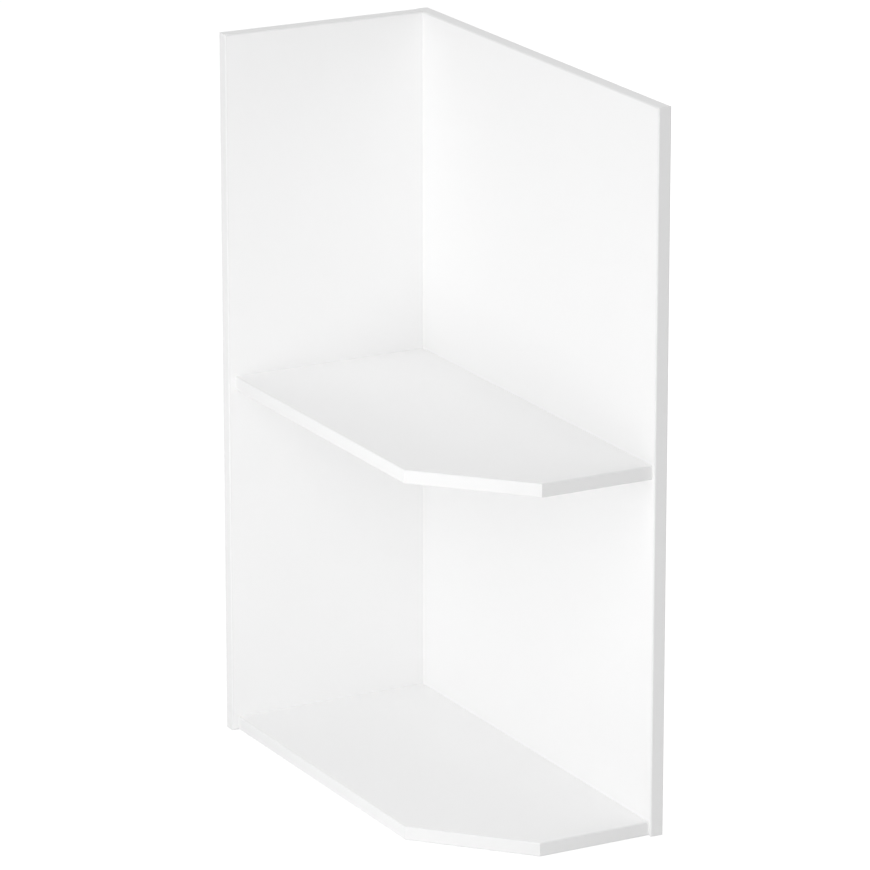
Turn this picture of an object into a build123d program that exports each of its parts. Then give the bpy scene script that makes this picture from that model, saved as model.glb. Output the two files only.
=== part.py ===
"""Open corner end unit: two panels meeting at a right angle, with two fixed shelves between them.

Every length is in millimetres. +Z is up, the wall is at +Y and the neighbouring cabinet at +X,
so the shelves are open towards -X and -Y. The origin is the middle of the underside.
"""
from build123d import *
from math import hypot
import os

# Outer size of the unit
width = 265.0  # free end of the back panel to the outer face of the side panel
depth = 540.0  # wall to the front edge of the side panel
height = 820.0

# Board and its glued-on edge strips
board = 16.0
band = 2.0
band_round = 1.8

# Shelves
shelf_end_setback = 8.0  # behind the free end of the back panel
shelf_front_setback = 5.0  # behind the front edge of the side panel
cut_width = 105.0  # cut-off outer corner, measured along the front edge
cut_depth = 115.0  # and along the open end
middle_shelf_rise = 408.0  # underside of the middle shelf above the underside of the unit

# Countersunk one-piece connector screws
screw_length = 50.0
screw_head_radius = 5.0
screw_head_sink = 0.3  # head below the face of the board
screw_shank_radius = 3.2
screw_thread_radius = 3.4
screw_core_radius = 2.4
screw_thread_pitch = 3.0
screw_tip_length = 4.0
screw_tip_radius = 1.2
screw_socket_flats = 4.0
screw_socket_depth = 3.0
screw_hole_clearance = 0.1
screw_hole_spare = 1.0  # hole deeper than the tip
screw_crossing_gap = 16.0  # from the tips of the screws that come in at a right angle
joint_end_inset = 50.0  # outermost screw from the end of its joint
corner_screw_count = 4
side_screw_count = 3
back_screw_count = 2

# Fluted dowels
dowel_length = 30.0
dowel_radius = 4.0
dowel_chamfer = 0.8
dowel_flute_count = 12
dowel_flute_radius = 0.4
dowel_face_depth = 11.0  # how far it sits in the outer board
dowel_hole_clearance = 0.05
dowel_end_clearance = 0.5

# Keyhole hanger plates, let in flush with the rear face of the back panel
hanger_width = 34.0
hanger_height = 60.0
hanger_thickness = 2.0
hanger_corner = 4.0
hanger_drop = 60.0  # middle of the plate below the top edge
hanger_screw_gap = 9.2  # edge of the plate from the tips of the corner screws
hanger_fit = 0.1
keyhole_entry_radius = 5.0
keyhole_slot_width = 5.4
keyhole_run = 13.0  # middle of the entry hole up to the seat of the wall screw
head_room_width = 14.0
head_room_depth = 8.0

# Small countersunk screws that hold the hanger plates
plate_screw_length = 12.0
plate_screw_head_radius = 3.3
plate_screw_thread_radius = 1.6
plate_screw_core_radius = 1.1
plate_screw_pitch = 1.4
plate_screw_tip_length = 2.5
plate_screw_tip_radius = 0.3
plate_screw_edge = 7.0  # middle of the screw from the end of the plate
plate_recess_width = 0.8
plate_recess_span = 3.2
plate_recess_depth = 1.0

# Places that follow from the sizes above
left = -width / 2
right = width / 2
front = -depth / 2
rear = depth / 2
inner_right = right - board  # face of the side panel that looks into the unit
inner_rear = rear - board  # face of the back panel that looks into the unit
shelf_left = left + shelf_end_setback
shelf_front = front + shelf_front_setback
shelf_rises = {"bottom_shelf": 0.0, "middle_shelf": middle_shelf_rise}

# Joint planes: the outer faces, drawn in (y, z) and (-x, z), and the seams one board further in
side_outer = Plane(origin=(right, 0, 0), x_dir=(0, 1, 0), z_dir=(1, 0, 0))
back_outer = Plane(origin=(0, rear, 0), x_dir=(-1, 0, 0), z_dir=(0, 1, 0))
side_seam = side_outer.offset(-board)
back_seam = back_outer.offset(-board)


def spread(start, end, count):
    """Evenly spaced positions from start to end, both included."""
    step = (end - start) / (count - 1)
    return [start + step * i for i in range(count)]


def between(positions):
    """The midpoints of neighbouring positions."""
    return [(a + b) / 2 for a, b in zip(positions, positions[1:])]


def on_plane(plane, points):
    """Placements at points drawn in a plane, each facing out of it."""
    return [plane.location * Location((u, v, 0)) for u, v in points]


def save(piece, name):
    """Label one finished sub-part and write its file."""
    piece.part.label = name
    export_step(piece.part, f"parts/{name}.step")


# Screws along the three kinds of joint, each with its dowels midway between the screws
screw_reach = screw_length + screw_head_sink - board  # how far a screw enters the butting board
corner_line = rear - board / 2
corner_heights = spread(joint_end_inset, height - joint_end_inset, corner_screw_count)
corner_screws_at = [(corner_line, z) for z in corner_heights]
corner_dowels_at = [(corner_line, z) for z in between(corner_heights)]

last_side_screw = inner_rear - screw_reach - screw_crossing_gap
side_line = spread(shelf_front + joint_end_inset, last_side_screw, side_screw_count)
last_back_screw = inner_right - screw_reach - screw_crossing_gap
back_line = spread(shelf_left + joint_end_inset, last_back_screw, back_screw_count)


def side_points(positions, rise):
    """Points of the side plane, level with the middle of a shelf's thickness."""
    return [(y, rise + board / 2) for y in positions]


def back_points(positions, rise):
    """Points of the back plane, level with the middle of a shelf's thickness."""
    return [(-x, rise + board / 2) for x in positions]


def drill_for_screws(plane, points):
    """Countersunk holes from an outer face, through its board and on into the butting board."""
    bore = screw_thread_radius + screw_hole_clearance
    countersink = screw_head_radius + screw_head_sink + screw_hole_clearance
    hole_depth = screw_head_sink + screw_length + screw_hole_spare
    with Locations(*on_plane(plane, points)):
        CounterSinkHole(bore, countersink, hole_depth, counter_sink_angle=90)


def dowel_middle(seam):
    """The plane through the middle of the dowels that cross a seam."""
    return seam.offset(dowel_face_depth - dowel_length / 2)


def drill_for_dowels(seam, points):
    """Blind holes on both sides of a seam, a little longer than the dowel they hold."""
    bore = dowel_radius + dowel_hole_clearance
    room = dowel_length + 2 * dowel_end_clearance
    with Locations(*on_plane(dowel_middle(seam), points)):
        Cylinder(bore, room, mode=Mode.SUBTRACT)


# Hanger plates, as far from each end of the back panel as the corner screws allow
hanger_offset = screw_reach + hanger_screw_gap + hanger_width / 2
hanger_middles = {"left": left + hanger_offset, "right": inner_right - hanger_offset}
hanger_level = height - hanger_drop
plate_screw_rise = hanger_height / 2 - plate_screw_edge
plate_screws_at = [(0, -plate_screw_rise), (0, plate_screw_rise)]


def hanger_plane(middle):
    """The outer face of a hanger plate: x along the wall, y up, facing the wall."""
    return Plane(origin=(middle, rear, hanger_level), x_dir=(-1, 0, 0), z_dir=(0, 1, 0))


def let_in_hanger(middle):
    """A shallow seat for a hanger plate, with deeper room for the head of the wall screw."""
    with BuildSketch(hanger_plane(middle)) as seat:
        grown = 2 * hanger_fit
        RectangleRounded(hanger_width + grown, hanger_height + grown, hanger_corner + hanger_fit)
    extrude(seat.sketch, amount=-hanger_thickness, mode=Mode.SUBTRACT)
    with BuildSketch(hanger_plane(middle)) as head_room:
        SlotCenterToCenter(keyhole_run, head_room_width, rotation=90)
    extrude(head_room.sketch, amount=-hanger_thickness - head_room_depth, mode=Mode.SUBTRACT)
    with Locations(*on_plane(hanger_plane(middle), plate_screws_at)):
        Hole(plate_screw_thread_radius + screw_hole_clearance, plate_screw_length + screw_hole_spare)


# Panels
with BuildPart() as side_panel:
    with BuildSketch(Plane.XY.offset(band)):
        with Locations((inner_right, front + band)):
            Rectangle(board, depth - band, align=(Align.MIN, Align.MIN))
    extrude(amount=height - 2 * band)
    drill_for_screws(side_outer, corner_screws_at)
    drill_for_dowels(side_seam, corner_dowels_at)
    for rise in shelf_rises.values():
        drill_for_screws(side_outer, side_points(side_line, rise))
        drill_for_dowels(side_seam, side_points(between(side_line), rise))

with BuildPart() as back_panel:
    with BuildSketch(Plane.XY.offset(band)):
        with Locations((left + band, inner_rear)):
            Rectangle(width - band - board, board, align=(Align.MIN, Align.MIN))
    extrude(amount=height - 2 * band)
    drill_for_screws(side_outer, corner_screws_at)
    drill_for_dowels(side_seam, corner_dowels_at)
    for rise in shelf_rises.values():
        drill_for_screws(back_outer, back_points(back_line, rise))
        drill_for_dowels(back_seam, back_points(between(back_line), rise))
    for middle in hanger_middles.values():
        let_in_hanger(middle)


# Shelves
def free_outline(inset):
    """Corners of a shelf's free edges, all moved in by an inset, from the wall round to the side."""
    slope = hypot(cut_width, cut_depth)
    inward_x = cut_depth / slope
    inward_y = cut_width / slope
    cut_start = shelf_front + cut_depth + inset * (1 - inward_x) / inward_y
    cut_end = shelf_left + cut_width + inset * (1 - inward_y) / inward_x
    return [
        (shelf_left + inset, inner_rear),
        (shelf_left + inset, cut_start),
        (cut_end, shelf_front + inset),
        (inner_right, shelf_front + inset),
    ]


def shelf(rise):
    """One shelf board with its cut-off corner, drilled for both panels."""
    with BuildPart() as piece:
        with BuildSketch(Plane.XY.offset(rise)):
            with BuildLine():
                Polyline(*free_outline(band), (inner_right, inner_rear), close=True)
            make_face()
        extrude(amount=board)
        drill_for_screws(side_outer, side_points(side_line, rise))
        drill_for_dowels(side_seam, side_points(between(side_line), rise))
        drill_for_screws(back_outer, back_points(back_line, rise))
        drill_for_dowels(back_seam, back_points(between(back_line), rise))
    return piece


# Edge strips
strip_round = min(band_round, 0.9 * band)


def straight_strip(low, high, along, outward, end):
    """A strip between two opposite corners, its two long outer edges rounded."""
    size = [b - a for a, b in zip(low, high)]
    with BuildPart() as piece:
        with Locations(low):
            Box(*size, align=(Align.MIN, Align.MIN, Align.MIN))
        fillet(piece.edges().filter_by(along).group_by(outward)[end], radius=strip_round)
    return piece


def shelf_strip(rise, number):
    """The strip on one free edge of a shelf, mitred to the next strip."""
    outer = free_outline(0)[number : number + 2]
    inner = free_outline(band)[number : number + 2]
    with BuildPart() as piece:
        with BuildSketch(Plane.XY.offset(rise)):
            with BuildLine():
                Polyline(outer[0], outer[1], inner[1], inner[0], close=True)
            make_face()
        extrude(amount=board)
        long_outer_edges = piece.edges().sort_by(SortBy.LENGTH)[-2:]
        fillet(long_outer_edges, radius=strip_round)
    return piece


strip_first = front + band  # the upright strips cover the ends of the flat ones
side_strips = {
    "side_panel_front_band": straight_strip(
        (inner_right, front, 0), (right, strip_first, height), Axis.Z, Axis.Y, 0
    ),
    "side_panel_top_band": straight_strip(
        (inner_right, strip_first, height - band), (right, rear, height), Axis.Y, Axis.Z, -1
    ),
    "side_panel_bottom_band": straight_strip(
        (inner_right, strip_first, 0), (right, rear, band), Axis.Y, Axis.Z, 0
    ),
}
strip_left = left + band
back_strips = {
    "back_panel_end_band": straight_strip(
        (left, inner_rear, 0), (strip_left, rear, height), Axis.Z, Axis.X, 0
    ),
    "back_panel_top_band": straight_strip(
        (strip_left, inner_rear, height - band), (inner_right, rear, height), Axis.X, Axis.Z, -1
    ),
    "back_panel_bottom_band": straight_strip(
        (strip_left, inner_rear, 0), (inner_right, rear, band), Axis.X, Axis.Z, 0
    ),
}


# Fasteners, each made once with its head at the origin, facing up
def screw_section(length, head, shank, thread, core, tip, tip_length, pitch, start):
    """Corners of half a countersunk screw's section, its thread drawn as sharp rings."""
    end = length - tip_length
    turns = max(1, round((end - start) / pitch))
    step = (end - start) / turns
    rings = []
    for turn in range(turns):
        rings.append((core, -start - step * turn))
        rings.append((thread, -start - step * (turn + 0.5)))
    upper = [(0, 0), (head, 0), (shank, shank - head), (shank, -start)]
    lower = [(core, -end), (tip, -length), (0, -length)]
    return upper + rings + lower


connector_screw_section = screw_section(
    length=screw_length,
    head=screw_head_radius,
    shank=screw_shank_radius,
    thread=screw_thread_radius,
    core=screw_core_radius,
    tip=screw_tip_radius,
    tip_length=screw_tip_length,
    pitch=screw_thread_pitch,
    start=board - screw_head_sink,
)
plate_screw_section = screw_section(
    length=plate_screw_length,
    head=plate_screw_head_radius,
    shank=plate_screw_thread_radius,
    thread=plate_screw_thread_radius,
    core=plate_screw_core_radius,
    tip=plate_screw_tip_radius,
    tip_length=plate_screw_tip_length,
    pitch=plate_screw_pitch,
    start=hanger_thickness,
)

with BuildPart() as connector_screw:
    with BuildSketch(Plane.XZ):
        with BuildLine():
            Polyline(*connector_screw_section, close=True)
        make_face()
    revolve(axis=Axis.Z)
    with BuildSketch():
        RegularPolygon(screw_socket_flats / 2, 6, major_radius=False)
    extrude(amount=-screw_socket_depth, mode=Mode.SUBTRACT)

with BuildPart() as plate_screw:
    with BuildSketch(Plane.XZ):
        with BuildLine():
            Polyline(*plate_screw_section, close=True)
        make_face()
    revolve(axis=Axis.Z)
    with BuildSketch():
        Rectangle(plate_recess_span, plate_recess_width)
        Rectangle(plate_recess_width, plate_recess_span)
    extrude(amount=-plate_recess_depth, mode=Mode.SUBTRACT)

with BuildPart() as dowel:
    Cylinder(dowel_radius, dowel_length)
    chamfer(dowel.edges().filter_by(GeomType.CIRCLE), length=dowel_chamfer)
    with PolarLocations(dowel_radius, dowel_flute_count):
        Cylinder(dowel_flute_radius, dowel_length, mode=Mode.SUBTRACT)


def fasteners(pattern, places):
    """Copies of one fastener, all in one sub-part."""
    with BuildPart() as group:
        with Locations(*places):
            add(pattern.part)
    return group


def screws(plane, points):
    """Connector screws driven in from an outer face."""
    return fasteners(connector_screw, on_plane(plane.offset(-screw_head_sink), points))


def dowels(seam, points):
    """Dowels across a seam."""
    return fasteners(dowel, on_plane(dowel_middle(seam), points))


def hanger_plate(middle):
    """A keyhole plate: a round entry hole with a slot up to the seat of the wall screw."""
    with BuildPart() as plate:
        with BuildSketch(hanger_plane(middle)):
            RectangleRounded(hanger_width, hanger_height, hanger_corner)
            with Locations((0, -keyhole_run / 2)):
                Circle(keyhole_entry_radius, mode=Mode.SUBTRACT)
            SlotCenterToCenter(
                keyhole_run, keyhole_slot_width, rotation=90, mode=Mode.SUBTRACT
            )
        extrude(amount=-hanger_thickness)
        with Locations(*on_plane(hanger_plane(middle), plate_screws_at)):
            CounterSinkHole(
                plate_screw_thread_radius + screw_hole_clearance,
                plate_screw_head_radius + screw_hole_clearance,
                hanger_thickness,
                counter_sink_angle=90,
            )
    return plate


# Write every sub-part
os.makedirs("parts", exist_ok=True)
save(side_panel, "side_panel")
save(back_panel, "back_panel")
for name, strip in {**side_strips, **back_strips}.items():
    save(strip, name)

save(screws(side_outer, corner_screws_at), "corner_joint_screws")
save(dowels(side_seam, corner_dowels_at), "corner_joint_dowels")

for name, rise in shelf_rises.items():
    save(shelf(rise), name)
    for number, edge in enumerate(["end", "corner", "front"]):
        save(shelf_strip(rise, number), f"{name}_{edge}_band")
    save(screws(side_outer, side_points(side_line, rise)), f"{name}_side_screws")
    save(dowels(side_seam, side_points(between(side_line), rise)), f"{name}_side_dowels")
    save(screws(back_outer, back_points(back_line, rise)), f"{name}_back_screws")
    save(dowels(back_seam, back_points(between(back_line), rise)), f"{name}_back_dowels")

for side, middle in hanger_middles.items():
    save(hanger_plate(middle), f"hanger_plate_{side}")
    plate_screws = fasteners(plate_screw, on_plane(hanger_plane(middle), plate_screws_at))
    save(plate_screws, f"hanger_screws_{side}")
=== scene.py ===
"""Finish, light and frame an open corner end unit of white melamine-faced board.

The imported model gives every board, edge strip, hanger plate and fastener its size and place. This
script gives each of them its finish, works out the helical threads of the screws and the flutes of
the dowels as surfaces, and sets up the studio and the camera. Every length is in metres.
"""
from __future__ import annotations

import logging
import math
from collections.abc import Sequence
from dataclasses import dataclass, field
from enum import Enum

import bpy
import numpy as np
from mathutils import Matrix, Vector


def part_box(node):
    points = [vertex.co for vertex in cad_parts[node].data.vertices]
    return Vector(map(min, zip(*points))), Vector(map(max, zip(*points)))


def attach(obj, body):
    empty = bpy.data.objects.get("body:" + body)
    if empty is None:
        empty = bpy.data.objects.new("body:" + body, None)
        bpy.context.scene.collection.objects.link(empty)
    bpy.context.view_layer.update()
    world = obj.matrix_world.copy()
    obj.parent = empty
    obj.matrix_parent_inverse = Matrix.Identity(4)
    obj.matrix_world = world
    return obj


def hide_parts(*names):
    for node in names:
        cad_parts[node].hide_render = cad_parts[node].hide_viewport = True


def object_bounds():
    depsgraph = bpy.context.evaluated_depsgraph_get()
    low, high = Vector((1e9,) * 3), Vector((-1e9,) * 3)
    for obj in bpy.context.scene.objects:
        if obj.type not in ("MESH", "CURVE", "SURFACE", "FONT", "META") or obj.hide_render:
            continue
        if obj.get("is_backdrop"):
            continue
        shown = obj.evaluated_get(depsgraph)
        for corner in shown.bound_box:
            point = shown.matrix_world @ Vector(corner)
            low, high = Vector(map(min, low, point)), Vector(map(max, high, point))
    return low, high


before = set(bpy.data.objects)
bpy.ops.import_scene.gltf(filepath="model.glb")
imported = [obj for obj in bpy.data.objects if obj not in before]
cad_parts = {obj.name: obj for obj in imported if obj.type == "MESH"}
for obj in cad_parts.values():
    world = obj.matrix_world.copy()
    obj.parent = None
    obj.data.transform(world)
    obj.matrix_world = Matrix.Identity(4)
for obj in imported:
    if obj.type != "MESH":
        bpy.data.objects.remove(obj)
log = logging.getLogger("end_unit")

MM = 0.001
Number = float | int
Colour = tuple[float, float, float]
Triple = tuple[float, float, float]


class Along(Enum):
    """A row axis, as its place in a point's coordinates."""

    X = 0
    Y = 1
    Z = 2

    @property
    def direction(self) -> Triple:
        """The unit vector of this axis."""
        return tuple(1.0 if i == self.value else 0.0 for i in range(3))


# Shader arithmetic -------------------------------------------------------------------------------


class Signal:
    """One output of a shader node, which takes part in Python arithmetic.

    Every operator adds a Math node to the graph and returns its output, so `1 - mask` or
    `mask * depth` reads as it would on numbers.
    """

    def __init__(self, graph: Graph, socket: bpy.types.NodeSocket) -> None:
        """Wrap an output socket of a graph."""
        self.graph = graph
        self.socket = socket

    def output(self, name: str) -> Signal:
        """Another output of the same node, by name."""
        return Signal(self.graph, self.socket.node.outputs[name])

    def _math(self, operation: str, first: Operand, second: Operand = 0.0) -> Signal:
        """Add one Math node.

        Args:
            operation: the Math node's operation.
            first: its first value or link.
            second: its second value or link.

        Returns:
            The node's output.
        """
        return self.graph.node(
            "ShaderNodeMath", {"operation": operation}, {0: first, 1: second}
        )

    def __add__(self, other: Operand) -> Signal:
        """Sum."""
        return self._math("ADD", self, other)

    __radd__ = __add__

    def __sub__(self, other: Operand) -> Signal:
        """Difference."""
        return self._math("SUBTRACT", self, other)

    def __rsub__(self, other: Operand) -> Signal:
        """Difference with the number first."""
        return self._math("SUBTRACT", other, self)

    def __mul__(self, other: Operand) -> Signal:
        """Product."""
        return self._math("MULTIPLY", self, other)

    __rmul__ = __mul__

    def __gt__(self, other: Operand) -> Signal:
        """One where this is greater, nought elsewhere."""
        return self._math("GREATER_THAN", self, other)

    def __lt__(self, other: Operand) -> Signal:
        """One where this is less, nought elsewhere."""
        return self._math("LESS_THAN", self, other)

    def __abs__(self) -> Signal:
        """Absolute value."""
        return self._math("ABSOLUTE", self)

    def either(self, other: Operand) -> Signal:
        """The greater of two masks."""
        return self._math("MAXIMUM", self, other)


Operand = Signal | Number


class Graph:
    """The node tree of a material or of the world, built up by calls."""

    def __init__(self, owner: bpy.types.Material | bpy.types.World) -> None:
        """Start with an empty node tree.

        Args:
            owner: the material or world that holds the tree.
        """
        owner.use_nodes = True
        self.owner = owner
        self.tree = owner.node_tree
        self.tree.nodes.clear()

    @classmethod
    def for_material(cls, name: str) -> Graph:
        """The graph of a new material."""
        return cls(bpy.data.materials.new(name))

    def node(
        self,
        kind: str,
        settings: dict[str, object] | None = None,
        inputs: dict[str | int, object] | None = None,
        output: str | int = 0,
    ) -> Signal:
        """Add one node of any type.

        Args:
            kind: the node's type name.
            settings: its properties, set before its sockets; "stops" gives a ramp's stops.
            inputs: socket values, or signals to link, by socket name or number.
            output: the output to return, by name or number.

        Returns:
            The chosen output of the new node.
        """
        node = self.tree.nodes.new(kind)
        for key, value in (settings or {}).items():
            if key == "stops":
                self._set_stops(node, value)
            else:
                setattr(node, key, value)
        for key, value in (inputs or {}).items():
            if isinstance(value, Signal):
                self.tree.links.new(value.socket, node.inputs[key])
            else:
                node.inputs[key].default_value = value
        return Signal(self, node.outputs[output] if node.outputs else None)

    @staticmethod
    def _set_stops(node: bpy.types.Node, stops: Sequence[tuple[float, Colour]]) -> None:
        """Give a ramp its stops.

        Args:
            node: the ramp.
            stops: a position and a colour for each.
        """
        elements = node.color_ramp.elements
        while len(elements) < len(stops):
            elements.new(1.0)
        for element, (position, colour) in zip(elements, stops):
            element.position = position
            element.color = (*colour, 1.0)

    def point(self) -> Signal:
        """The shaded point in the object's own coordinates, which are the unit's."""
        return self.node("ShaderNodeTexCoord", output="Object")

    def part_of(self, vector: Signal, axis: Along) -> Signal:
        """One coordinate of a vector."""
        return self.node("ShaderNodeSeparateXYZ", {}, {0: vector}, axis.value)

    def scaled(self, vector: Signal, scale: Triple) -> Signal:
        """A vector with each coordinate multiplied by its own factor."""
        by = {"operation": "MULTIPLY"}
        return self.node("ShaderNodeVectorMath", by, {0: vector, 1: scale})

    def noise(self, vector: Signal, scale: float, detail: float = 2.0) -> Signal:
        """Soft noise between nought and one, with about `scale` lumps to the metre."""
        inputs = {"Vector": vector, "Scale": scale, "Detail": detail}
        return self.node("ShaderNodeTexNoise", {}, inputs)

    def blend(self, factor: Operand, first: object, second: object) -> Signal:
        """Mix two colours: the first where the factor is nought, the second where it is one."""
        first_socket, second_socket, result = 6, 7, 2  # the Mix node's colour sockets
        inputs = {0: factor, first_socket: first, second_socket: second}
        return self.node("ShaderNodeMix", {"data_type": "RGBA"}, inputs, result)

    def bump(self, height: Signal, depth: float) -> Signal:
        """A normal bent by a height between nought and one, over a depth in metres."""
        inputs = {"Strength": 1.0, "Distance": depth, "Height": height}
        return self.node("ShaderNodeBump", {}, inputs)

    def finish(self, **sockets: object) -> bpy.types.Material:
        """End the graph in one Principled surface.

        Args:
            sockets: its values and links, with underscores for the spaces of the socket names.

        Returns:
            The finished material.
        """
        inputs = {name.replace("_", " "): value for name, value in sockets.items()}
        surface = self.node("ShaderNodeBsdfPrincipled", {}, inputs)
        self.node("ShaderNodeOutputMaterial", {}, {"Surface": surface})
        return self.owner


def opaque(colour: Colour) -> tuple[float, float, float, float]:
    """A colour with full alpha, as sockets take it."""
    return (*colour, 1.0)


# Finishes ----------------------------------------------------------------------------------------


@dataclass(frozen=True)
class Chipboard:
    """Bare pressed chips: coarse in the middle of the board, fine near its faces."""

    chip_length: float = 5.5 * MM
    chip_thickness: float = 1.1 * MM
    fine_length: float = 1.8 * MM
    fine_thickness: float = 0.5 * MM
    fine_layer: float = 2.6 * MM
    wobble: float = 0.9  # how far the chips' outlines stray, in chips
    depth: float = 0.25 * MM
    chip_share: float = 0.6  # of the relief; the fibres have the rest
    fibres_per_metre: float = 2400.0
    pit_edge: float = 0.78  # pits lie at least this far from the nearest chip's middle
    pit_level: float = 0.5  # and beside chips whose tone is below this
    # painted shade: the pits between chips are coloured dark where shade would fall into them
    pit_shade_strength: float = 0.8
    roughness: float = 0.9
    dark: Colour = (0.31, 0.18, 0.09)
    mid: Colour = (0.55, 0.38, 0.22)
    mid_stop: float = 0.45
    light: Colour = (0.76, 0.6, 0.4)
    pit_painted_shade: Colour = (0.13, 0.07, 0.03)

    def layer(
        self, graph: Graph, point: Signal, across: Along, length: float, thickness: float
    ) -> Signal:
        """One layer of chips that lie flat in the board.

        Args:
            graph: the material's graph.
            point: the shaded point.
            across: the axis through the board's thickness.
            length: the chips' length.
            thickness: the chips' thickness.

        Returns:
            Distance to the nearest chip's middle, with its Color output random for each chip.
        """
        scale = tuple(1 / (thickness if axis is across else length) for axis in Along)
        stray = graph.noise(point, 1 / length, detail=1.0).output("Color")
        moved = graph.node(
            "ShaderNodeVectorMath",
            {"operation": "MULTIPLY_ADD"},
            {0: stray, 1: (self.wobble,) * 3, 2: graph.scaled(point, scale)},
        )
        return graph.node("ShaderNodeTexVoronoi", {}, {"Vector": moved, "Scale": 1.0})

    def shade(
        self, graph: Graph, point: Signal, across: Along, from_face: Signal
    ) -> tuple[Signal, Signal]:
        """Colour and height of the chips.

        Args:
            graph: the material's graph.
            point: the shaded point.
            across: the axis through the board's thickness.
            from_face: depth below the nearer face of the board.

        Returns:
            The chips' colour, with painted shade in the pits between them, and their height between
            nought and one.
        """
        coarse = self.layer(graph, point, across, self.chip_length, self.chip_thickness)
        fine = self.layer(graph, point, across, self.fine_length, self.fine_thickness)
        inner = from_face > self.fine_layer
        tone = graph.blend(inner, fine.output("Color"), coarse.output("Color"))
        level = graph.node("ShaderNodeSeparateColor", {}, {0: tone}, 0)
        stops = [(0.0, self.dark), (self.mid_stop, self.mid), (1.0, self.light)]
        colour = graph.node("ShaderNodeValToRGB", {"stops": stops}, {0: level})
        rim = inner * coarse + (1 - inner) * fine
        pit = (rim > self.pit_edge) * (level < self.pit_level)
        fibre = graph.noise(point, self.fibres_per_metre, detail=3.0)
        height = level * self.chip_share + fibre * (1 - self.chip_share) - pit
        # the pits get a painted shade colour as well as their dent in the relief
        return graph.blend(pit * self.pit_shade_strength, colour, opaque(self.pit_painted_shade)), height


@dataclass(frozen=True)
class Melamine:
    """Chipboard under a hard white film on both faces, with a faint pearl texture."""

    colour: Colour = (0.965, 0.965, 0.965)
    cloud: Colour = (0.955, 0.955, 0.955)
    clouds_per_metre: float = 9.0
    film: float = 0.2 * MM
    roughness: float = 0.42
    smear: float = 0.06  # how much the roughness varies where hands have wiped the face
    smears_per_metre: float = 35.0
    pearl_size: float = 1.4 * MM
    pearl_depth: float = 0.012 * MM
    ior: float = 1.5
    core: Chipboard = Chipboard()

    def material(
        self, name: str, low: Triple, high: Triple, across: Along
    ) -> bpy.types.Material:
        """The finish of one board, white on its two faces and bare where it is cut.

        Args:
            name: the material's name.
            low: the board's lowest corner.
            high: its highest corner.
            across: the axis through its thickness.

        Returns:
            The board's material.
        """
        graph = Graph.for_material(name)
        point = graph.point()
        middle = (low[across.value] + high[across.value]) / 2
        half = (high[across.value] - low[across.value]) / 2
        from_face = half - abs(graph.part_of(point, across) - middle)
        bare = from_face > self.film
        clouds = graph.noise(point, self.clouds_per_metre, detail=3.0)
        white = graph.blend(clouds, opaque(self.colour), opaque(self.cloud))
        chips, chip_height = self.core.shade(graph, point, across, from_face)
        pearl = graph.noise(point, 1 / self.pearl_size)
        smears = graph.noise(point, self.smears_per_metre)
        height = (1 - bare) * pearl * (self.pearl_depth / self.core.depth) + bare * chip_height
        gloss = self.roughness + (smears - 0.5) * self.smear
        return graph.finish(
            Base_Color=graph.blend(bare, white, chips),
            Roughness=(1 - bare) * gloss + bare * self.core.roughness,
            Normal=graph.bump(height, self.core.depth),
            IOR=self.ior,
        )


@dataclass(frozen=True)
class EdgeStrip:
    """White extruded plastic edging, with faint draw lines along its length."""

    colour: Colour = (0.9, 0.9, 0.9)
    shade: Colour = (0.885, 0.885, 0.885)
    clouds_per_metre: float = 14.0
    roughness: float = 0.38
    line_gloss: float = 0.08  # how much the roughness varies from line to line
    line_width: float = 0.35 * MM
    line_depth: float = 0.006 * MM
    stretch: float = 60.0  # length of a line over its width
    ior: float = 1.53

    def material(self, name: str, direction: Triple) -> bpy.types.Material:
        """The finish of a strip that runs in one direction.

        Args:
            name: the material's name.
            direction: unit vector along the strip.

        Returns:
            The strip's material.
        """
        graph = Graph.for_material(name)
        point = graph.point()
        dot = {"operation": "DOT_PRODUCT"}
        run = graph.node("ShaderNodeVectorMath", dot, {0: point, 1: direction}, "Value")
        squeeze = run * (1 / self.stretch - 1)
        along = graph.node(
            "ShaderNodeVectorMath", {"operation": "SCALE"}, {0: direction, "Scale": squeeze}
        )
        drawn = graph.node("ShaderNodeVectorMath", {"operation": "ADD"}, {0: point, 1: along})
        lines = graph.noise(drawn, 1 / self.line_width)
        clouds = graph.noise(point, self.clouds_per_metre)
        return graph.finish(
            Base_Color=graph.blend(clouds, opaque(self.colour), opaque(self.shade)),
            Roughness=self.roughness + (lines - 0.5) * self.line_gloss,
            Normal=graph.bump(lines, self.line_depth),
            IOR=self.ior,
        )


@dataclass(frozen=True)
class Zinc:
    """Bright zinc plating on steel, with fine scuffs and a slight blue cast."""

    colour: Colour = (0.58, 0.6, 0.62)
    dull: Colour = (0.38, 0.4, 0.42)
    roughness: float = 0.3
    clouds_per_metre: float = 160.0
    cloud_gloss: float = 0.25  # how much the roughness varies with the clouds
    scuffs_per_metre: float = 2600.0
    scuff_gloss: float = 0.15
    scuff_stretch: Triple = (1.0, 1.0, 0.12)  # the scuffs run up and down
    scuff_depth: float = 0.004 * MM

    def material(self, name: str) -> bpy.types.Material:
        """The plating, cloudier where it has been handled.

        Args:
            name: the material's name.

        Returns:
            The plating.
        """
        graph = Graph.for_material(name)
        point = graph.point()
        clouds = graph.noise(point, self.clouds_per_metre, detail=4.0)
        drawn = graph.scaled(point, self.scuff_stretch)
        scuffs = graph.noise(drawn, self.scuffs_per_metre)
        cloudy = self.roughness + (clouds - 0.5) * self.cloud_gloss
        return graph.finish(
            Base_Color=graph.blend(clouds, opaque(self.colour), opaque(self.dull)),
            Metallic=1.0,
            Roughness=cloudy + (scuffs - 0.5) * self.scuff_gloss,
            Normal=graph.bump(scuffs, self.scuff_depth),
        )


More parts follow.
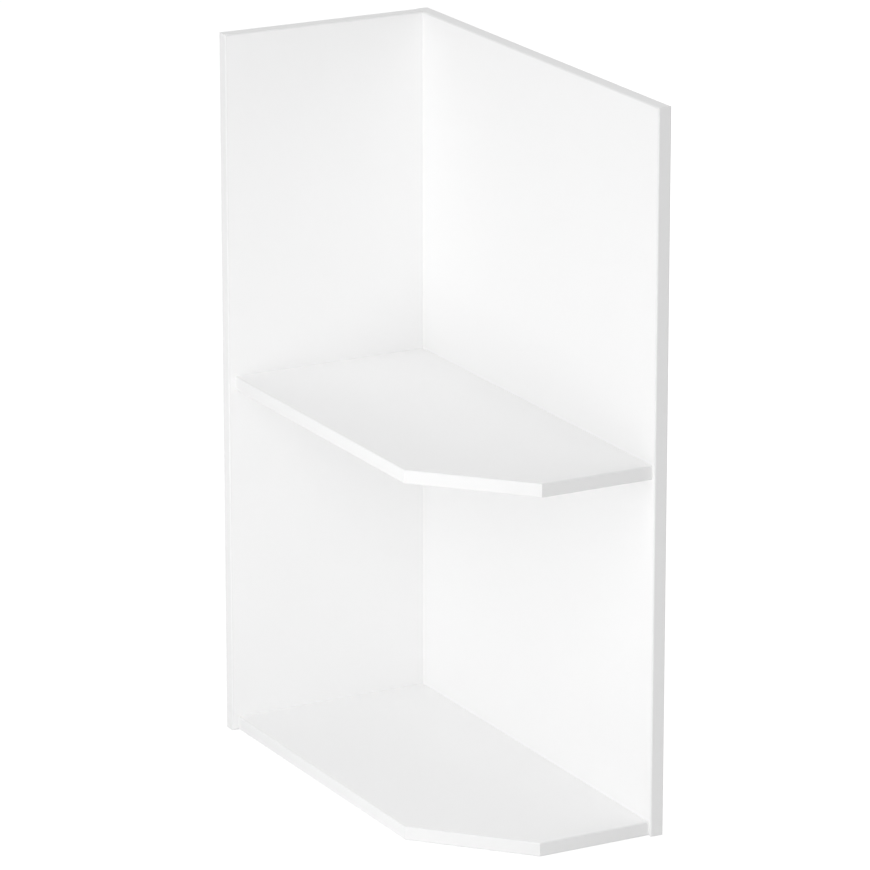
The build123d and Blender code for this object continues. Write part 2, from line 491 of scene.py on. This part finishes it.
@dataclass(frozen=True)
class Beech:
    """Planed beech with short dark flecks along the grain."""

    light: Colour = (0.66, 0.44, 0.25)
    dark: Colour = (0.45, 0.26, 0.13)
    fleck: Colour = (0.27, 0.13, 0.06)
    grain_width: float = 0.5 * MM
    grain_depth: float = 0.05 * MM
    stretch: float = 14.0  # length of the grain over its width
    fleck_width: float = 0.2 * MM
    fleck_threshold: float = 0.66  # flecks are where their noise is above this
    fleck_strength: float = 0.7
    roughness: float = 0.62
    grain_gloss: float = 0.2  # how much the roughness varies with the grain

    def material(self, name: str, along: Along) -> bpy.types.Material:
        """The wood of a dowel.

        Args:
            name: the material's name.
            along: the axis along which the grain runs.

        Returns:
            The wood.
        """
        graph = Graph.for_material(name)
        scale = tuple(1 / self.stretch if axis is along else 1.0 for axis in Along)
        drawn = graph.scaled(graph.point(), scale)
        grain = graph.noise(drawn, 1 / self.grain_width, detail=4.0)
        flecks = graph.noise(drawn, 1 / self.fleck_width, detail=1.0) > self.fleck_threshold
        wood = graph.blend(grain, opaque(self.dark), opaque(self.light))
        return graph.finish(
            Base_Color=graph.blend(flecks * self.fleck_strength, wood, opaque(self.fleck)),
            Roughness=self.roughness + (grain - 0.5) * self.grain_gloss,
            Normal=graph.bump(grain, self.grain_depth),
        )


# Turned fasteners --------------------------------------------------------------------------------

CREASE = math.radians(28.0)  # edges that turn by more than this stay sharp
TINY = 1e-6


@dataclass(frozen=True)
class Row:
    """A row of equal fasteners in one node: where they stand and which way their heads look."""

    node: str
    count: int
    row_axis: Along
    head_axis: Along

    def placements(self) -> list[np.ndarray]:
        """Placements of the fasteners, read from the node's box.

        The first and last fastener touch the ends of the box along the row, and the others are
        evenly spaced between them. Across the row the box is as wide as one fastener.

        Returns:
            One 4 x 4 matrix for each fastener, whose local z axis runs out of the head.
        """
        low, high = (np.array(corner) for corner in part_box(self.node))
        row, head = self.row_axis.value, self.head_axis.value
        third = ({0, 1, 2} - {row, head}).pop()
        radius = (high[third] - low[third]) / 2
        matrices = []
        for place in np.linspace(low[row] + radius, high[row] - radius, self.count):
            matrix = np.eye(4)
            matrix[:3, :3] = 0.0
            matrix[third, 0] = 1.0
            matrix[head, 2] = 1.0
            matrix[:3, 1] = np.cross(matrix[:3, 2], matrix[:3, 0])
            matrix[third, 3] = low[third] + radius
            matrix[row, 3] = place
            matrix[head, 3] = high[head]
            matrices.append(matrix)
        return matrices


def turned_piece(
    name: str, radii: np.ndarray, heights: np.ndarray, placements: list[np.ndarray]
) -> bpy.types.Object:
    """A closed turned piece, repeated at each placement.

    Row i of the grid lies at height z(i), and its column k stands at the angle 2 pi k / n, so a
    point is (r cos a, r sin a, z) with r taken from the radius grid. Neighbouring rows are joined
    by four-sided faces, and one face closes each end.

    Args:
        name: the object's name.
        radii: radius at each row and column.
        heights: height of each row, from the head's end to the tip.
        placements: the copies' placements.

    Returns:
        The new object.
    """
    rows, columns = radii.shape
    angles = 2 * np.pi * np.arange(columns) / columns
    level = np.broadcast_to(heights[:, None], radii.shape)
    grid = [radii * np.cos(angles), radii * np.sin(angles), level, np.ones_like(radii)]
    points = np.stack(grid, axis=-1).reshape(-1, 4)
    index = np.arange(rows * columns).reshape(rows, columns)
    ahead = np.roll(index, -1, axis=1)
    quads = np.stack([index[:-1], index[1:], ahead[1:], ahead[:-1]], axis=-1).reshape(-1, 4)
    vertices, faces = [], []
    for copy, placement in enumerate(placements):
        offset = copy * rows * columns
        vertices.append((points @ placement.T)[:, :3])
        faces += (quads + offset).tolist()
        faces.append((index[0] + offset).tolist())
        faces.append((index[-1][::-1] + offset).tolist())
    mesh = bpy.data.meshes.new(name)
    mesh.from_pydata(np.concatenate(vertices).tolist(), [], faces)
    mesh.shade_smooth()
    mesh.set_sharp_from_angle(angle=CREASE)
    piece = bpy.data.objects.new(name, mesh)
    bpy.context.scene.collection.objects.link(piece)
    return piece


def hexagon(angles: np.ndarray, flats: float) -> np.ndarray:
    """Radius of a hexagon at each angle.

    Within each sixth of a turn the side is a straight line, so r = (flats / 2) / cos(a) with the
    angle a measured from the middle of that side.

    Args:
        angles: the angles.
        flats: the width across flats.

    Returns:
        The radii.
    """
    sixth = np.pi / 3
    return flats / 2 / np.cos((angles + sixth / 2) % sixth - sixth / 2)


def cross(angles: np.ndarray, span: float, width: float) -> np.ndarray:
    """Radius of a plus-shaped recess at each angle.

    In each eighth of a turn, a ray leaves the arm through its end, at r = (span / 2) / cos(a), or
    through its flank, at r = (width / 2) / sin(a), whichever is nearer.

    Args:
        angles: the angles.
        span: from end to end of two opposite arms.
        width: an arm's width.

    Returns:
        The radii.
    """
    quarter = np.pi / 2
    fold = np.abs((angles + quarter / 2) % quarter - quarter / 2)
    return np.minimum(span / 2 / np.cos(fold), width / 2 / np.maximum(np.sin(fold), TINY))


@dataclass(frozen=True)
class Screw:
    """A countersunk screw with a real helical thread and a driving recess."""

    length: float
    head_radius: float
    shank_radius: float
    thread_radius: float
    core_radius: float
    tip_radius: float
    tip_length: float
    pitch: float
    thread_start: float
    recess_depth: float
    bevel: float = 0.1 * MM
    columns: int = 48
    rows_per_turn: int = 10
    ridge_width: float = 0.42  # of the pitch
    fade_turns: float = 0.8  # the ridge grows and ends over this many turns
    thread_gap: float = 0.05 * MM  # from the shank to the first row of the thread
    narrowest: float = 0.45  # of the core's radius, at the tip

    def recess(self, angles: np.ndarray, sunk: float) -> np.ndarray:
        """Radius of the driving recess.

        Args:
            angles: the angles.
            sunk: how deep in the recess, from nought at its mouth to one at its bottom.

        Returns:
            The radius at each angle.
        """
        raise NotImplementedError

    def section(self) -> tuple[np.ndarray, np.ndarray]:
        """Radius grid and row heights of the whole screw.

        The rows run up out of the recess, over the head and down the shank. Along the thread the
        radius is the core's plus a triangular ridge: the ridge's height falls off in a straight
        line with the distance, in turns, from the helix z = -pitch (turns + angle / full turn).

        Returns:
            The radii, one row for each height, and the heights.
        """
        angles = 2 * np.pi * np.arange(self.columns) / self.columns
        cone_end = self.head_radius - self.shank_radius
        plain = [
            (self.recess(angles, 1.0), -self.recess_depth),
            (self.recess(angles, 0.0), -self.bevel),
            (self.recess(angles, 0.0) + self.bevel, 0.0),
            (np.full_like(angles, self.head_radius - self.bevel), 0.0),
            (np.full_like(angles, self.head_radius), -self.bevel),
            (np.full_like(angles, self.shank_radius), -cone_end - self.bevel),
            (np.full_like(angles, self.shank_radius), -self.thread_start),
        ]
        thread_end = self.length - self.tip_length / 2
        turns = (thread_end - self.thread_start) / self.pitch
        down = np.linspace(0.0, turns, int(turns * self.rows_per_turn) + 1)[:, None]
        phase = (down - angles / (2 * np.pi)) % 1.0
        ridge = np.clip(1 - np.abs(phase - 0.5) / (self.ridge_width / 2), 0.0, 1.0)
        fade = np.clip(np.minimum(down, turns - down) / self.fade_turns, 0.0, 1.0)
        taper = np.clip((turns - down) * self.pitch / self.tip_length, self.narrowest, 1.0)
        ridge_height = self.thread_radius - self.core_radius
        threaded = self.core_radius * taper + ridge_height * ridge * fade
        below = self.thread_start + self.thread_gap + down[:, 0] * self.pitch
        tip = np.full_like(angles, self.tip_radius)
        radii = np.vstack([*(row for row, _ in plain), threaded, tip])
        heights = np.concatenate([[z for _, z in plain], -below, [-self.length]])
        return radii, heights


@dataclass(frozen=True)
class ConnectorScrew(Screw):
    """The 50 mm cabinet connector, driven by a hexagon key."""

    length: float = 50.0 * MM
    head_radius: float = 5.0 * MM
    shank_radius: float = 3.2 * MM
    thread_radius: float = 3.4 * MM
    core_radius: float = 2.4 * MM
    tip_radius: float = 1.0 * MM
    tip_length: float = 4.0 * MM
    pitch: float = 3.0 * MM
    thread_start: float = 15.7 * MM
    recess_depth: float = 3.0 * MM
    flats: float = 4.0 * MM

    def recess(self, angles: np.ndarray, sunk: float) -> np.ndarray:
        """A hexagon socket with upright walls."""
        return hexagon(angles, self.flats)


@dataclass(frozen=True)
class PlateScrew(Screw):
    """The 12 mm countersunk screw of a hanger plate, with a cross recess."""

    length: float = 12.0 * MM
    head_radius: float = 3.3 * MM
    shank_radius: float = 1.6 * MM
    thread_radius: float = 1.6 * MM
    core_radius: float = 1.1 * MM
    tip_radius: float = 0.2 * MM
    tip_length: float = 2.5 * MM
    pitch: float = 1.4 * MM
    thread_start: float = 2.2 * MM
    recess_depth: float = 1.4 * MM
    span: float = 3.4 * MM
    span_loss: float = 0.45  # share of the span that is gone at the recess's bottom
    width: float = 0.9 * MM
    width_loss: float = 0.2

    def recess(self, angles: np.ndarray, sunk: float) -> np.ndarray:
        """A cross that narrows towards its bottom."""
        span = self.span * (1 - self.span_loss * sunk)
        return cross(angles, span, self.width * (1 - self.width_loss * sunk))


@dataclass(frozen=True)
class Dowel:
    """A beech dowel with flutes that let the glue spread and with bevelled ends."""

    length: float = 30.0 * MM
    radius: float = 4.0 * MM
    bevel: float = 0.8 * MM
    flutes: int = 12
    flute_depth: float = 0.35 * MM
    flute_power: int = 6  # the higher, the narrower the flutes
    columns: int = 96

    def section(self) -> tuple[np.ndarray, np.ndarray]:
        """Radius grid and row heights of the dowel.

        The radius is R - d |cos(n a / 2)|^p, a ring of n narrow rounded grooves along the whole
        length, less the bevel at the two end rows.

        Returns:
            The radii, one row for each height, and the heights, with the first end uppermost.
        """
        angles = 2 * np.pi * np.arange(self.columns) / self.columns
        groove = np.abs(np.cos(self.flutes * angles / 2)) ** self.flute_power
        fluted = self.radius - self.flute_depth * groove
        radii = np.stack([fluted - self.bevel, fluted, fluted, fluted - self.bevel])
        depths = [0.0, self.bevel, self.length - self.bevel, self.length]
        return radii, -np.array(depths)


# Sub-assemblies ----------------------------------------------------------------------------------


def dress(node: str, material: bpy.types.Material) -> str:
    """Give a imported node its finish.

    Args:
        node: the node's name.
        material: its new material, put into each of its slots.

    Returns:
        The node's name.
    """
    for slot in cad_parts[node].material_slots:
        slot.material = material
    return node


def place(
    piece: bpy.types.Object, node: str, slot: str, material: bpy.types.Material
) -> str:
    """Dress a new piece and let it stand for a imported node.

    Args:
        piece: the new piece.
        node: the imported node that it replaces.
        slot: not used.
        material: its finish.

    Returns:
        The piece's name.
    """
    piece.data.materials.append(material)
    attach(piece, "root")
    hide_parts(node)
    return piece.name


@dataclass
class FacedBoard:
    """One board with white faces and the strips glued to its free edges.

    Each strip has the axis that it runs along, or none where it runs aslant.
    """

    node: str
    across: Along
    strips: dict[str, Along | None]
    face: Melamine = Melamine()
    edging: EdgeStrip = EdgeStrip()

    def build(self) -> list[str]:
        """Dress the board and its strips.

        Returns:
            The names of the dressed nodes.
        """
        low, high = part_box(self.node)
        board = self.face.material(f"{self.node}_melamine", tuple(low), tuple(high), self.across)
        done = [dress(self.node, board)]
        for strip, along in self.strips.items():
            name = f"{self.node}_{strip}"
            direction = along.direction if along else self.slanting(name)
            done.append(dress(name, self.edging.material(f"{name}_edging", direction)))
        return done

    def slanting(self, strip: str) -> Triple:
        """Direction of a strip that crosses its own box, to the right and forward.

        Args:
            strip: the strip's node.

        Returns:
            The unit vector along it.
        """
        low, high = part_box(strip)
        run = Vector((high.x - low.x, low.y - high.y, 0.0)).normalized()
        return tuple(run)


@dataclass
class SidePanel(FacedBoard):
    """The deep panel towards the neighbouring cabinet."""

    node: str = "side_panel"
    across: Along = Along.X
    strips: dict[str, Along | None] = field(
        default_factory=lambda: {
            "front_band": Along.Z,
            "top_band": Along.Y,
            "bottom_band": Along.Y,
        }
    )


@dataclass
class BackPanel(FacedBoard):
    """The narrow panel against the wall."""

    node: str = "back_panel"
    across: Along = Along.Y
    strips: dict[str, Along | None] = field(
        default_factory=lambda: {
            "end_band": Along.Z,
            "top_band": Along.X,
            "bottom_band": Along.X,
        }
    )


@dataclass
class Shelf(FacedBoard):
    """A fixed shelf with its outer corner cut off."""

    across: Along = Along.Z
    strips: dict[str, Along | None] = field(
        default_factory=lambda: {
            "end_band": Along.Y,
            "corner_band": None,
            "front_band": Along.X,
        }
    )


@dataclass
class Joint:
    """The connector screws and dowels that hold one board to another."""

    screws: Row
    dowels: Row
    screw: ConnectorScrew = ConnectorScrew()
    dowel: Dowel = Dowel()
    zinc: Zinc = Zinc()
    beech: Beech = Beech()

    def build(self) -> list[str]:
        """Make the joint's fasteners in the place of their nodes.

        Returns:
            The names of the new pieces.
        """
        screws = turned_piece(
            f"{self.screws.node}_threaded", *self.screw.section(), self.screws.placements()
        )
        dowels = turned_piece(
            f"{self.dowels.node}_fluted", *self.dowel.section(), self.dowels.placements()
        )
        plating = self.zinc.material(f"{self.screws.node}_zinc")
        wood = self.beech.material(f"{self.dowels.node}_beech", self.dowels.head_axis)
        return [
            place(screws, self.screws.node, "screw_steel", plating),
            place(dowels, self.dowels.node, "dowel_wood", wood),
        ]


@dataclass
class Hanger:
    """One keyhole plate let into the rear face, with its two screws."""

    side: str
    screw: PlateScrew = PlateScrew()
    zinc: Zinc = Zinc(roughness=0.36)

    def build(self) -> list[str]:
        """Dress the plate and make its screws.

        Returns:
            The names of the dressed node and of the new piece.
        """
        row = Row(f"hanger_screws_{self.side}", 2, Along.Z, Along.Y)
        screws = turned_piece(f"{row.node}_threaded", *self.screw.section(), row.placements())
        plating = self.zinc.material(f"hanger_{self.side}_zinc")
        return [
            dress(f"hanger_plate_{self.side}", plating),
            place(screws, row.node, "screw_steel", plating),
        ]


# Studio ------------------------------------------------------------------------------------------


def seen_directly(graph: Graph) -> Signal:
    """Which rays see the room itself and not the light that it scatters.

    Args:
        graph: the graph of the room or the floor.

    Returns:
        One for rays from the camera, a mirror or glass, nought for the others.
    """
    path = graph.node("ShaderNodeLightPath")
    shown = path.output("Is Camera Ray").either(path.output("Is Glossy Ray"))
    return shown.either(path.output("Is Transmission Ray"))


def bearing(azimuth: float, elevation: float) -> Vector:
    """Unit vector towards a place in the room.

    Args:
        azimuth: degrees round the unit, nought in front of it and negative to its left.
        elevation: degrees above the horizon.

    Returns:
        The unit vector.
    """
    turn, rise = math.radians(azimuth), math.radians(elevation)
    level = math.cos(rise)
    return Vector((math.sin(turn) * level, -math.cos(turn) * level, math.sin(rise)))


@dataclass(frozen=True)
class SoftBox:
    """A square lamp, placed as seen from the point that it looks at.

    Its level is how bright a white surface at that point becomes when it faces the lamp. It
    leaves no highlight: gloss mirrors the white room alone, so that a pale face is no brighter
    from one side than from another.
    """

    name: str
    azimuth: float
    elevation: float
    level: float
    distance: float = 4.0
    size: float = 2.4
    aim: Triple = (0.0, 0.0, 0.41)

    def build(self) -> str:
        """Hang the lamp.

        Returns:
            Its name.
        """
        lamp = bpy.data.lights.new(self.name, "AREA")
        lamp.shape = "SQUARE"
        lamp.size = self.size
        lamp.energy = self.level * (math.pi * self.distance) ** 2
        holder = bpy.data.objects.new(self.name, lamp)
        bpy.context.scene.collection.objects.link(holder)
        towards = bearing(self.azimuth, self.elevation)
        holder.location = Vector(self.aim) + towards * self.distance
        holder.rotation_euler = towards.to_track_quat("Z", "Y").to_euler()
        holder.visible_camera = False
        holder.visible_glossy = False
        return self.name


@dataclass
class Studio:
    """A pale floor and a white room, with soft lamps.

    The two near lamps stand low on the left and light the space under the middle shelf. The
    floor lies a hair's breadth below the unit, because two faces in one plane flicker.
    """

    ambient: float = 0.512
    floor_half: float = 20.0
    floor_gap: float = 0.2 * MM
    floor_colour: Colour = (0.9, 0.9, 0.9)
    shown_share: float = 0.3  # of the light that falls on the floor, where it is seen directly
    shown_glow: float = 0.85  # added there, so that the floor shows as white
    lamps: tuple[SoftBox, ...] = (
        SoftBox("key", -70.0, 35.0, 0.17),
        SoftBox("front_fill", -30.0, 15.0, 0.113),
        SoftBox("overhead", 0.0, 86.0, 0.08),
        SoftBox("near_left", -80.0, 8.0, 0.13, distance=1.1, size=0.6, aim=(0.0, 0.0, 0.2)),
        SoftBox("near_front", -60.0, 12.0, 0.1, distance=1.1, size=0.6, aim=(0.0, 0.0, 0.12)),
        SoftBox("rear", 130.0, 9.0, 0.2, size=1.6),
    )

    def build(self) -> list[str]:
        """Lay the floor, hang the lamps and light the room.

        Returns:
            The names of the floor and the lamps.
        """
        bpy.context.scene.view_settings.view_transform = "Standard"
        self.light_room()
        lamps = [lamp.build() for lamp in self.lamps]
        return [self.lay_floor(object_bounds()[0].z - self.floor_gap), *lamps]

    def light_room(self) -> None:
        """A white surround that shows as white and lights the unit with a lower level."""
        world = bpy.data.worlds.new("studio")
        bpy.context.scene.world = world
        graph = Graph(world)
        white = opaque((1.0, 1.0, 1.0))
        lit = graph.node("ShaderNodeBackground", {}, {"Color": white, "Strength": self.ambient})
        shown = graph.node("ShaderNodeBackground", {}, {"Color": white, "Strength": 1.0})
        room = graph.node("ShaderNodeMixShader", {}, {0: seen_directly(graph), 1: lit, 2: shown})
        graph.node("ShaderNodeOutputWorld", {}, {"Surface": room})

    def lay_floor(self, level: float) -> str:
        """A wide floor that scatters light as pale paint does and shows as near white.

        Args:
            level: height of the floor.

        Returns:
            The floor's name.
        """
        half = self.floor_half
        square = [(-half, -half), (half, -half), (half, half), (-half, half)]
        mesh = bpy.data.meshes.new("floor")
        mesh.from_pydata([(x, y, level) for x, y in square], [], [(0, 1, 2, 3)])
        floor = bpy.data.objects.new("floor", mesh)
        bpy.context.scene.collection.objects.link(floor)
        graph = Graph.for_material("floor_paint")
        paint = graph.node("ShaderNodeBsdfDiffuse", {}, {"Color": opaque(self.floor_colour)})
        share = opaque((self.shown_share,) * 3)
        seen = graph.node("ShaderNodeBsdfDiffuse", {}, {"Color": share})
        glow = graph.node("ShaderNodeEmission", {}, {"Strength": self.shown_glow})
        both = graph.node("ShaderNodeAddShader", {}, {0: seen, 1: glow})
        shown = seen_directly(graph)
        surface = graph.node("ShaderNodeMixShader", {}, {0: shown, 1: paint, 2: both})
        graph.node("ShaderNodeOutputMaterial", {}, {"Surface": surface})
        mesh.materials.append(graph.owner)
        floor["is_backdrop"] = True
        return floor.name


@dataclass(frozen=True)
class ViewPoint:
    """The camera, a long lens looking slightly down from the front left."""

    azimuth: float = -28.46
    elevation: float = 16.92
    distance: float = 6.3564
    aim: Triple = (0.0, 0.0098, 0.402)
    lens: float = 237.9  # in millimetres, as the sensor is
    sensor: float = 36.0
    farthest: float = 4.0  # nothing shows beyond this many distances

    def build(self) -> str:
        """Set up the camera.

        Returns:
            Its name.
        """
        lens = bpy.data.cameras.new("viewpoint")
        lens.sensor_width = self.sensor
        lens.lens = self.lens
        lens.clip_end = self.farthest * self.distance
        camera = bpy.data.objects.new("viewpoint", lens)
        bpy.context.scene.collection.objects.link(camera)
        back = bearing(self.azimuth, self.elevation)
        camera.location = Vector(self.aim) + back * self.distance
        camera.rotation_euler = back.to_track_quat("Z", "Y").to_euler()
        bpy.context.scene.camera = camera
        return camera.name


def joints() -> list[Joint]:
    """List every joint of the unit.

    Returns:
        The corner's joint, and the side and back joint of each shelf.
    """
    made = [
        Joint(
            Row("corner_joint_screws", 4, Along.Z, Along.X),
            Row("corner_joint_dowels", 3, Along.Z, Along.X),
        )
    ]
    for shelf in ("bottom_shelf", "middle_shelf"):
        made.append(
            Joint(
                Row(f"{shelf}_side_screws", 3, Along.Y, Along.X),
                Row(f"{shelf}_side_dowels", 2, Along.Y, Along.X),
            )
        )
        made.append(
            Joint(
                Row(f"{shelf}_back_screws", 2, Along.X, Along.Y),
                Row(f"{shelf}_back_dowels", 1, Along.X, Along.Y),
            )
        )
    return made


def main() -> None:
    """Dress the unit, build its fasteners and set up the studio, reporting each piece."""
    logging.basicConfig(level=logging.INFO, format="%(name)s: %(message)s")
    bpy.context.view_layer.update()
    boards = [SidePanel(), BackPanel(), Shelf("bottom_shelf"), Shelf("middle_shelf")]
    hangers = [Hanger("left"), Hanger("right")]
    for assembly in [*boards, *joints(), *hangers]:
        for piece in assembly.build():
            log.info("%s: %s", type(assembly).__name__, piece)
    for piece in [*Studio().build(), ViewPoint().build()]:
        log.info("studio: %s", piece)


if __name__ == "__main__":
    main()
